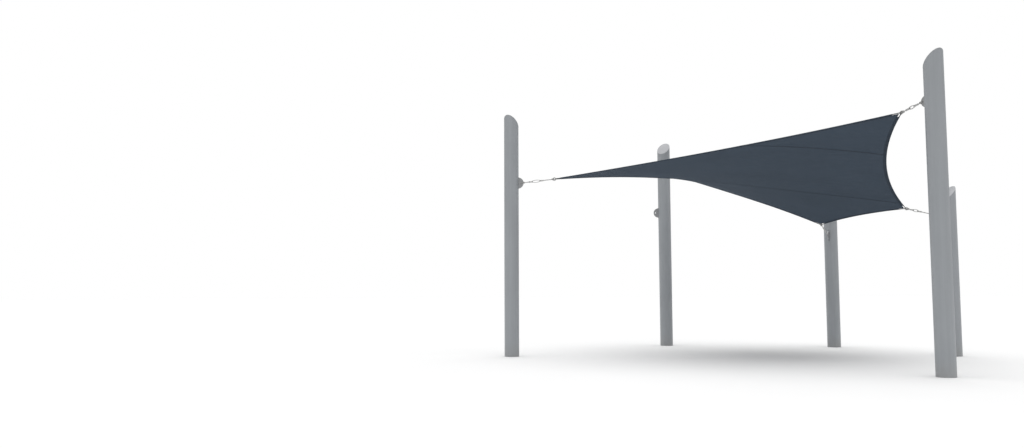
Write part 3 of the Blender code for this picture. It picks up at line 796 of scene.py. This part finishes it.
def stitches_mesh(name, rows, side):
    """All stitches on the cloth's upper or lower face, each a small ridge."""
    centres, along, up = (np.concatenate([row[n] for row in rows]) for n in range(3))
    up = up * np.where(up[:, 2:] < 0, -1.0, 1.0) * side
    across = np.cross(up, along) * STITCH_WIDTH / 2
    along = along * STITCH_LENGTH / 2
    base = centres + up * (DOUBLE_HALF - STITCH_SINK)
    top = base + up * (STITCH_HEIGHT + STITCH_SINK)
    corners = np.stack((
        base - along - across * 0.6,
        base - along + across * 0.6,
        base + along + across * 0.6,
        base + along - across * 0.6,
        base - across,
        base + across,
        top - along * 0.5,
        top + along * 0.5,
    ), axis=1)
    ridge = np.array(((0, 4, 6, 6), (4, 3, 7, 6), (3, 2, 7, 7), (2, 5, 7, 7), (5, 1, 6, 7), (1, 0, 6, 6)))
    numbers = np.arange(len(centres))[:, None, None] * 8 + ridge[None]
    faces = [tuple(dict.fromkeys(f)) for f in numbers.reshape(-1, 4).tolist()]
    faces = [f[::-1] if side > 0 else f for f in faces]
    mesh = bpy.data.meshes.new(name)
    mesh.from_pydata(corners.reshape(-1, 3).tolist(), [], faces)
    mesh.shade_smooth()
    return mesh


# ---- rope loops ----

def rope_section(n):
    """The strands of a wire rope, turned with the distance along it."""
    strand = ROPE_RADIUS / 3
    centre = ROPE_RADIUS - strand
    turn = 2 * math.pi * n * ROPE_STEP / ROPE_LAY
    half_sector = math.pi / ROPE_STRANDS
    section = []
    for a in full_turn(6 * ROPE_STRANDS):
        off = (a + half_sector) % (2 * half_sector) - half_sector
        radius = centre * math.cos(off) + math.sqrt(max(strand**2 - (centre * math.sin(off)) ** 2, 0.0))
        section.append((radius * math.cos(a + turn), radius * math.sin(a + turn)))
    return section


def rope_path(quarter):
    """The rope's way out of one hem, round its bend and into the other."""
    ends = []
    for side in (quarter, quarter.turned()):
        u = np.array([side.mouth()])
        ends.append(Vector(side.at(u, side.share_in(u, ROPE_INSET))[0]))
    meet = Vector(quarter.corner + quarter.bisector * ROPE_INSET / math.sin(quarter.half_angle))
    legs = [(end - meet).normalized() for end in ends]
    inward = (legs[0] + legs[1]).normalized()
    half = math.acos(legs[0].dot(inward))
    centre = meet + inward * ROPE_BEND / math.sin(half)
    sideways = (legs[0] - legs[1]).normalized()
    bend = []
    for n in range(BEND_STEPS + 1):
        a = (math.pi / 2 - half) * (1 - 2 * n / BEND_STEPS)
        bend.append(centre + ROPE_BEND * (sideways * math.sin(a) - inward * math.cos(a)))
    rough = np.array([ends[0] + legs[0] * ROPE_ROOT] + bend + [ends[1] + legs[1] * ROPE_ROOT])
    return np.vstack((rough[:1], pick(rough, spread(rough, ROPE_STEP)), rough[-1:]))


def add_rope_loop(post, quarter):
    mesh = sweep("rope", rope_path(quarter), rope_section, sharp_angle=80.0)
    add_piece("rope_loop_" + post.name, mesh, ROPE_DARKENED, ["cable_loop_" + post.name])


# ---- rings, turnbuckles and lugs ----

def node_points(name):
    """The places of a CAD node's points."""
    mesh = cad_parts[name].data
    places = np.zeros(len(mesh.vertices) * 3)
    mesh.vertices.foreach_get("co", places)
    return places.reshape(-1, 3)


def middle_of(name):
    points = node_points(name)
    return Vector((points.max(0) + points.min(0)) / 2)


def pull_line(post):
    """The middles of a turnbuckle's two pins, and the way from the post's to the sail's."""
    post_pin, sail_pin = middle_of("pin_post_" + post.name), middle_of("pin_sail_" + post.name)
    return post_pin, sail_pin, (sail_pin - post_pin).normalized()


def lug_way(post):
    """The level way out of a post to its lug's pin."""
    pin = middle_of("pin_post_" + post.name)
    return Vector((pin.x - post.x, pin.y - post.y, 0.0)).normalized()


def thread_mesh(start, along, length, radius):
    """A screw's thread: a ridge wound round it."""
    turns = int(length / THREAD_PITCH)
    side = along.orthogonal().normalized()
    up = along.cross(side)
    points, faces = [], []
    for n in range(turns * THREAD_STEPS + 1):
        a = 2 * math.pi * n / THREAD_STEPS
        out = side * math.cos(a) + up * math.sin(a)
        here = start + along * (THREAD_PITCH * n / THREAD_STEPS)
        points.append(here + out * (radius - THREAD_ROOT))
        points.append(here + along * THREAD_PITCH * 0.45 + out * (radius + THREAD_CREST))
        points.append(here + along * THREAD_PITCH * 0.9 + out * (radius - THREAD_ROOT))
        if n:
            b = 3 * n
            faces += [(b - 3, b, b + 1, b - 2), (b - 2, b + 1, b + 2, b - 1)]
    return mesh_from("thread", points, faces, 80.0)


def add_threads(post):
    """Threads on both screws of a turnbuckle."""
    post_pin, sail_pin, along = pull_line(post)
    lug_depth = post.lug_radius - LUG_HOLE_REACH + FORK_CLEARANCE
    ends = (("post", post_pin, along, lug_depth), ("sail", sail_pin, -along, RING_FORK_DEPTH))
    for end, origin, way, depth in ends:
        reach = (node_points("fork_%s_%s" % (end, post.name)) - np.array(origin)) @ np.array(way)
        start = depth + FORK_BASE + THREAD_START
        mesh = thread_mesh(origin + way * start, way, reach.max() - start - THREAD_SHORT, SCREW_RADIUS)
        add_piece("thread_%s_%s" % (end, post.name), mesh, STAINLESS)


def add_ring(post):
    """The ring that joins a rope loop to its turnbuckle, round and smooth."""
    points = node_points("ring_" + post.name)
    centre = points.mean(0)
    _, _, axes = np.linalg.svd(points - centre)
    x, z = Vector(axes[0]), Vector(axes[1])
    circle = [Vector(centre) + x * a + z * b for a, b in round_section(RING_RADIUS, 64)]
    mesh = sweep("ring", circle, lambda n: round_section(RING_WIRE, 20), closed=True)
    add_piece("round_ring_" + post.name, mesh, STAINLESS, ["ring_" + post.name])


def bow(x, half_length, middle, end):
    """Height of a side of the turnbuckle's open frame, x from its middle."""
    return end + (middle - end) * math.cos(math.pi / 2 * min(abs(x) / half_length, 1.0))


def bar_rings(shoulder, side):
    """One of the two bowed bars of a turnbuckle: rounded sections along it."""
    run = np.linspace(-shoulder - BAR_ROOT, shoulder + BAR_ROOT, 45)
    # Both sides end a little inside the nut's skin.
    outer = [bow(x, shoulder + 0.012, BODY_HALF_HEIGHT, BODY_NUT_RADIUS - 0.002) for x in run]
    inner = [bow(x, shoulder, SLOT_HALF_HEIGHT, SCREW_RADIUS - 0.001) for x in run]
    middle = [(a + b) / 2 for a, b in zip(outer, inner)]
    rise = np.gradient(middle, run)
    rings = []
    for x, z, slope, half in zip(run, middle, rise, (np.array(outer) - np.array(inner)) / 2):
        across = Vector((-slope, 0.0, 1.0)).normalized() * half
        ring = []
        for a in full_turn(28):
            wide = math.copysign(abs(math.cos(a)) ** BAR_SQUARENESS, math.cos(a)) * BODY_THICKNESS / 2
            tall = math.copysign(abs(math.sin(a)) ** BAR_SQUARENESS, math.sin(a))
            point = Vector((x, wide, z)) + across * tall
            ring.append(Vector((point.x, point.y, point.z * side)))
        rings.append(ring)
    return rings


def hub_rings(shoulder, end, side):
    """The bored nut at one end of a turnbuckle, with rounded rims."""
    bore, rim = SCREW_RADIUS + GAP, BODY_NUT_RADIUS
    profile = (
        (shoulder, bore),
        (shoulder, rim - 0.0022),
        (shoulder + 0.0008, rim - 0.0008),
        (shoulder + 0.0024, rim),
        (end - 0.0018, rim),
        (end - 0.0006, rim - 0.0006),
        (end, rim - 0.0018),
        (end, bore + 0.0006),
        (end - 0.0006, bore),
    )
    return [[Vector((x * side, a, b)) for a, b in round_section(r, 40)] for x, r in profile]


def add_turnbuckle_body(post):
    """The turnbuckle's forged body: two bowed bars between two bored nuts."""
    along = pull_line(post)[2]
    side = UP.cross(lug_way(post))
    reach = node_points("turnbuckle_" + post.name) @ np.array(along)
    end = (reach.max() - reach.min()) / 2
    shoulder = end - BODY_NUT_LENGTH
    parts = [(bar_rings(shoulder, way), False) for way in (1.0, -1.0)]
    parts += [(hub_rings(shoulder, end, way), True) for way in (1.0, -1.0)]
    points, faces = [], []
    for rings, closed_loop in parts:
        more_points, more_faces = ring_faces(rings, closed_loop, len(points))
        points += more_points
        faces += more_faces
    mesh = mesh_from("body", points, faces, 50.0)
    turn = Matrix((along, side, along.cross(side))).transposed().to_4x4()
    place = Matrix.Translation(middle_of("turnbuckle_" + post.name)) @ turn
    add_piece("forged_body_" + post.name, mesh, STAINLESS, ["turnbuckle_" + post.name], place)


def weld_section(n, spacing, radius):
    """A weld's section, which swells and draws in along it."""
    swell = 1.0 + WELD_SWELL * math.cos(2 * math.pi * n * spacing / WELD_RIPPLE)
    return round_section(radius * swell, 10)


def lug_rings(radius):
    """Sections of a lug's half-round plate, one after the other round its hole; all edges are eased."""
    back, half = GAP - LUG_HOLE_REACH, LUG_THICKNESS / 2
    ease, bore_ease = 0.0012, 0.0005
    foot = math.atan2(radius, back)
    arc, chord = np.linspace(-foot, foot, 97), np.linspace(foot, 2 * math.pi - foot, 33)[1:-1]
    rings = []
    for n, a in enumerate(np.concatenate((arc, chord))):
        x, z = math.cos(a), math.sin(a)
        rim = x * back + math.sqrt(radius**2 - (z * back) ** 2) if n < len(arc) else back / x
        upper = [(LUG_HOLE_RADIUS, half - bore_ease), (LUG_HOLE_RADIUS + bore_ease, half)]
        upper += [(rim - ease, half), (rim, half - ease)]
        ring = upper + [(r, -y) for r, y in reversed(upper)]
        rings.append([Vector((r * x, y, r * z)) for r, y in ring])
    return rings


def weld_mesh(path, spacing, radius):
    return sweep("weld", path, lambda n: weld_section(n, spacing, radius), closed=True, sharp_angle=80.0)


def add_lug(name, post, height, radius, outward):
    """A lug's plate, and the fillet of weld round its foot."""
    side = UP.cross(outward)
    axis = Vector((post.x, post.y, height))
    hole = Matrix.Translation(axis + outward * (POST_RADIUS + LUG_HOLE_REACH))
    place = hole @ Matrix((outward, side, UP)).transposed().to_4x4()
    mesh = ringed_mesh("lug", lug_rings(radius), closed_loop=True, sharp_angle=30.0)
    add_piece("lug_plate_" + name, mesh, ZINC, ["lug_" + name], place)

    face = axis + outward * (POST_RADIUS - WELD_SINK)
    half = LUG_THICKNESS / 2 + WELD_CLEARANCE
    run = np.arange(-radius, radius, WELD_STEP)
    turn = [(half * math.cos(a), radius + half * math.sin(a)) for a in np.linspace(0, math.pi, 18)]
    outline = [(half, z) for z in run] + turn
    outline += [(-x, -z) for x, z in outline[:-1]]
    mesh = weld_mesh([face + side * x + UP * z for x, z in outline], WELD_STEP, WELD_RADIUS)
    add_piece("lug_weld_" + name, mesh, WELD)


# ---- posts ----

def slanted_ring(post, radius, drop):
    """Points round a post, a drop below its slanted top."""
    low = math.radians(post.cut_bearing)
    rise = post.top_height - drop - CUT_SLOPE * radius * np.cos(full_turn(POST_FACETS) - low)
    return [(post.x + a, post.y + b, z) for (a, b), z in zip(round_section(radius, POST_FACETS), rise)]


def add_post(post):
    """A post's pipe, its cap, and the weld between them."""
    drop = CAP_DEPTH + GAP
    inside = POST_RADIUS - POST_WALL
    outer, inner = slanted_ring(post, POST_RADIUS, drop), slanted_ring(post, inside, drop)
    foot_out = [(x, y, 0.0) for x, y, _ in outer]
    foot_in = [(x, y, 0.0) for x, y, _ in inner]
    mesh = ringed_mesh("pipe", [foot_out, outer, inner, foot_in], closed_loop=True)
    add_piece("pipe_" + post.name, mesh, PAINT, ["post_" + post.name])

    edge = 0.0018
    rings = [
        slanted_ring(post, POST_RADIUS - edge, CAP_DEPTH),
        slanted_ring(post, POST_RADIUS, CAP_DEPTH - edge),
        slanted_ring(post, POST_RADIUS, edge * 1.6),
        slanted_ring(post, POST_RADIUS - edge * 0.5, edge * 0.5),
        slanted_ring(post, POST_RADIUS - edge * 1.8, 0.0),
    ]
    mesh = ringed_mesh("lid", rings, closed_loop=False, sharp_angle=60.0)
    add_piece("lid_" + post.name, mesh, CAP_PAINT_LIT, ["cap_" + post.name])

    joint = slanted_ring(post, POST_RADIUS - CAP_WELD_SINK, CAP_DEPTH)
    path = np.array(joint + joint[:1])
    mesh = weld_mesh(pick(path, spread(path, CAP_WELD_STEP)), CAP_WELD_STEP, CAP_WELD_RADIUS)
    add_piece("cap_weld_" + post.name, mesh, WELD)


# ---- build ----

def mark_double(sail, form):
    """Paints shade on the doubled hem, with a darker copy of the cloth. Each sail face repeats the form's
    points.
    """
    half = form.verts.layers.float["half"]
    double = [vert[half] > SINGLE_HALF * 1.1 for vert in form.verts] * 2
    sail.data.materials.append(CLOTH_DOUBLE_SHADED)
    for polygon in sail.data.polygons:
        if all(double[n] for n in polygon.vertices):
            polygon.material_index = 1


def add_sail(quarters):
    """The cloth, with its seams and stitches."""
    form = sail_form(quarters)
    panels = ["panel_front", "panel_middle", "panel_rear"]
    sail = add_piece("sail", thicken("sail", form), CLOTH, panels)
    mark_double(sail, form)
    for number, seam in enumerate(SEAMS, 1):
        lap = seam_strip(form, seam, number)
        # The seam's lap wears the darker copy too: painted shade where the cloth lies doubled.
        add_piece("seam_%d" % number, lap, CLOTH_DOUBLE_SHADED)
    rows = hem_rows(quarters, form) + seam_rows(form)
    for name, side in (("stitches_top", 1.0), ("stitches_under", -1.0)):
        add_piece(name, stitches_mesh(name, rows, side), THREAD)
    form.free()


def finish_steel():
    """Forks and pins keep their CAD shape, with rounded edges."""
    for name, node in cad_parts.items():
        if name.split("_")[0] in ("fork", "pin"):
            node.data.materials.clear()
            node.data.materials.append(STAINLESS)
            bevel = node.modifiers.new("rounded edges", "BEVEL")
            bevel.width = 0.0007
            bevel.segments = 2
            bevel.limit_method = "ANGLE"
            bevel.angle_limit = math.radians(40.0)


net_grids = stretch_net()
all_quarters = [Quarter(net_grids, k) for k in range(SIDES)]
add_sail(all_quarters)
for post, quarter in zip(POSTS, all_quarters):
    add_post(post)
    add_rope_loop(post, quarter)
    add_ring(post)
    add_turnbuckle_body(post)
    add_threads(post)
    add_lug(post.name, post, post.lug_height, post.lug_radius, lug_way(post))
    if post.name == SPARE_LUG_POST:
        add_lug("spare", post, SPARE_LUG_HEIGHT, SPARE_LUG_RADIUS, SPARE_LUG_OUTWARD)
finish_steel()

# ---- floor, light and camera ----

WORLD_LIGHT = 0.50          # the white surroundings show as 1.0, and light the part as this
SUN_SPREAD = math.radians(80.0)
SUN_STRENGTH = 1.95

floor_mesh = bpy.data.meshes.new("floor")
floor_corners = [(-60, -40, -0.001), (60, -40, -0.001), (60, 80, -0.001), (-60, 80, -0.001)]
floor_mesh.from_pydata(floor_corners, [], [(0, 1, 2, 3)])
floor = bpy.data.objects.new("floor", floor_mesh)
bpy.context.collection.objects.link(floor)
floor_shader = Shader("floor")
floor_tone = floor_shader.noise(floor_shader.place(), 0.6, 2.0, 0.5)
floor_tone = floor_shader.ramp(floor_tone, (0.3, grey(0.925)), (0.7, grey(0.94)))
floor_mesh.materials.append(floor_shader.set(Base_Color=floor_tone, Roughness=0.9))

bpy.context.scene.view_settings.view_transform = "Standard"
world = bpy.data.worlds.new("studio")
world.use_nodes = True
tree = world.node_tree
background = tree.nodes["Background"]
background.inputs["Color"].default_value = grey(1.0)
seen = tree.nodes.new("ShaderNodeLightPath")
strength = tree.nodes.new("ShaderNodeMath")
strength.operation = "MULTIPLY_ADD"
strength.inputs[1].default_value = 1.0 - WORLD_LIGHT
strength.inputs[2].default_value = WORLD_LIGHT
tree.links.new(seen.outputs["Is Camera Ray"], strength.inputs[0])
tree.links.new(strength.outputs[0], background.inputs["Strength"])
bpy.context.scene.world = world

lamp = bpy.data.lights.new("overhead", "SUN")
lamp.angle = SUN_SPREAD
lamp.energy = SUN_STRENGTH
lamp_object = bpy.data.objects.new("overhead", lamp)
bpy.context.collection.objects.link(lamp_object)

# The camera looks along +Y, raised by the pitch and turned by the roll, as worked out from the posts.
CAMERA_PLACE = (-3.26, -12.33, 1.0)
LENS = 29.58
PITCH = math.radians(4.439)
ROLL = math.radians(-0.167)
camera = bpy.data.cameras.new("camera")
camera.lens = LENS
camera.sensor_width = 36.0
camera.clip_end = 200.0
camera_object = bpy.data.objects.new("camera", camera)
forward = Vector((0.0, math.cos(PITCH), math.sin(PITCH)))
upward = Vector((0.0, -math.sin(PITCH), math.cos(PITCH)))
level = Vector((1.0, 0.0, 0.0))
right = level * math.cos(ROLL) + upward * math.sin(ROLL)
upward = upward * math.cos(ROLL) - level * math.sin(ROLL)
turn = Matrix((right, upward, -forward)).transposed().to_4x4()
camera_object.matrix_world = Matrix.Translation(CAMERA_PLACE) @ turn
bpy.context.collection.objects.link(camera_object)
bpy.context.scene.camera = camera_object
